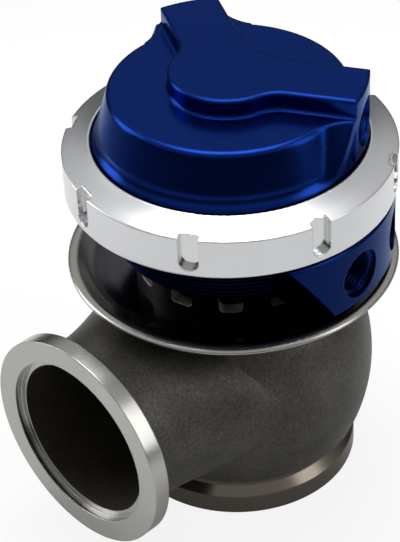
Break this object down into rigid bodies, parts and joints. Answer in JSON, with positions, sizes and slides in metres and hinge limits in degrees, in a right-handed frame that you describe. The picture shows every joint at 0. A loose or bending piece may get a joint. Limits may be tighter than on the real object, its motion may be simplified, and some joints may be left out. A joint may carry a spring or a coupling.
{
  "type": "turbo wastegate",
  "caption": "Poppet wastegate: cast body with V-band inlet and side outlet, polished heat shield, slotted ring, finned blue housing, notched silver collar and blue cap with arms",
  "frame": {"origin": "centre of the inlet flange's bottom face", "axes": "+Z along the valve's axis from inlet to cap; the outlet leaves along -Y; +X is to the right seen from the outlet side"},
  "size_m": [0.083, 0.0979, 0.1152],
  "materials": {
    "valve_body": "sand-cast stainless steel, machined rims",
    "valve_seat": "turned stainless steel",
    "valve": "ground stainless steel",
    "valve_guide": "turned bronze",
    "stem_scraper": "turned bronze",
    "body_gasket": "layered steel",
    "heat_shield": "polished stainless sheet",
    "slotted_ring": "turned stainless steel",
    "heat_gasket": "pressed insulating fibre",
    "lower_housing": "blue anodised, fine turned",
    "housing_screws": "stainless steel",
    "stem_seal": "moulded rubber",
    "seal_washer": "stamped steel",
    "snap_ring": "blackened spring steel",
    "diaphragm": "moulded silicone rubber over cloth",
    "diaphragm_plate": "turned",
    "spring_cup": "turned",
    "stem_washer": "stamped steel",
    "stem_nut": "stainless steel",
    "lock_collar": "clear anodised, satin turned",
    "top_cap": "blue anodised, satin",
    "outer_spring": "coiled spring steel",
    "middle_spring": "coiled spring steel",
    "inner_spring": "coiled spring steel"
  },
  "bodies": {
    "body": {"valve_body": "valve_body", "valve_seat": "valve_seat", "valve_guide": "valve_guide", "stem_scraper": "stem_scraper", "body_gasket": "body_gasket", "heat_shield": "heat_shield", "slotted_ring": "slotted_ring", "heat_gasket": "heat_gasket", "lower_housing": "lower_housing", "housing_screws": "housing_screws", "stem_seal": "stem_seal", "seal_washer": "seal_washer", "snap_ring": "snap_ring", "diaphragm": "diaphragm"},
    "lift": {"valve": "valve", "diaphragm_plate": "diaphragm_plate", "spring_cup": "spring_cup", "stem_washer": "stem_washer", "stem_nut": "stem_nut"},
    "cap": {"top_cap": "top_cap", "outer_spring": "outer_spring", "middle_spring": "middle_spring", "inner_spring": "inner_spring"},
    "collar": {"lock_collar": "lock_collar"}
  },
  "joints": [
    {"name": "valve_lift", "type": "slide", "parent": "body", "child": "lift", "axis": [0, 0, 1], "range_m": [0, 0.0085], "stiffness_N_per_m": 9000, "springref_m": -0.013, "deforming": ["outer_spring", "middle_spring", "inner_spring", "diaphragm"]},
    {"name": "cap_clocking", "type": "hinge", "parent": "body", "child": "cap", "pos_m": [0, 0, 0.1], "axis": [0, 0, 1], "continuous": true},
    {"name": "collar_turn", "type": "hinge", "parent": "body", "child": "collar", "pos_m": [0, 0, 0.09], "axis": [0, 0, 1], "range_deg": [0, 360]}
  ]
}
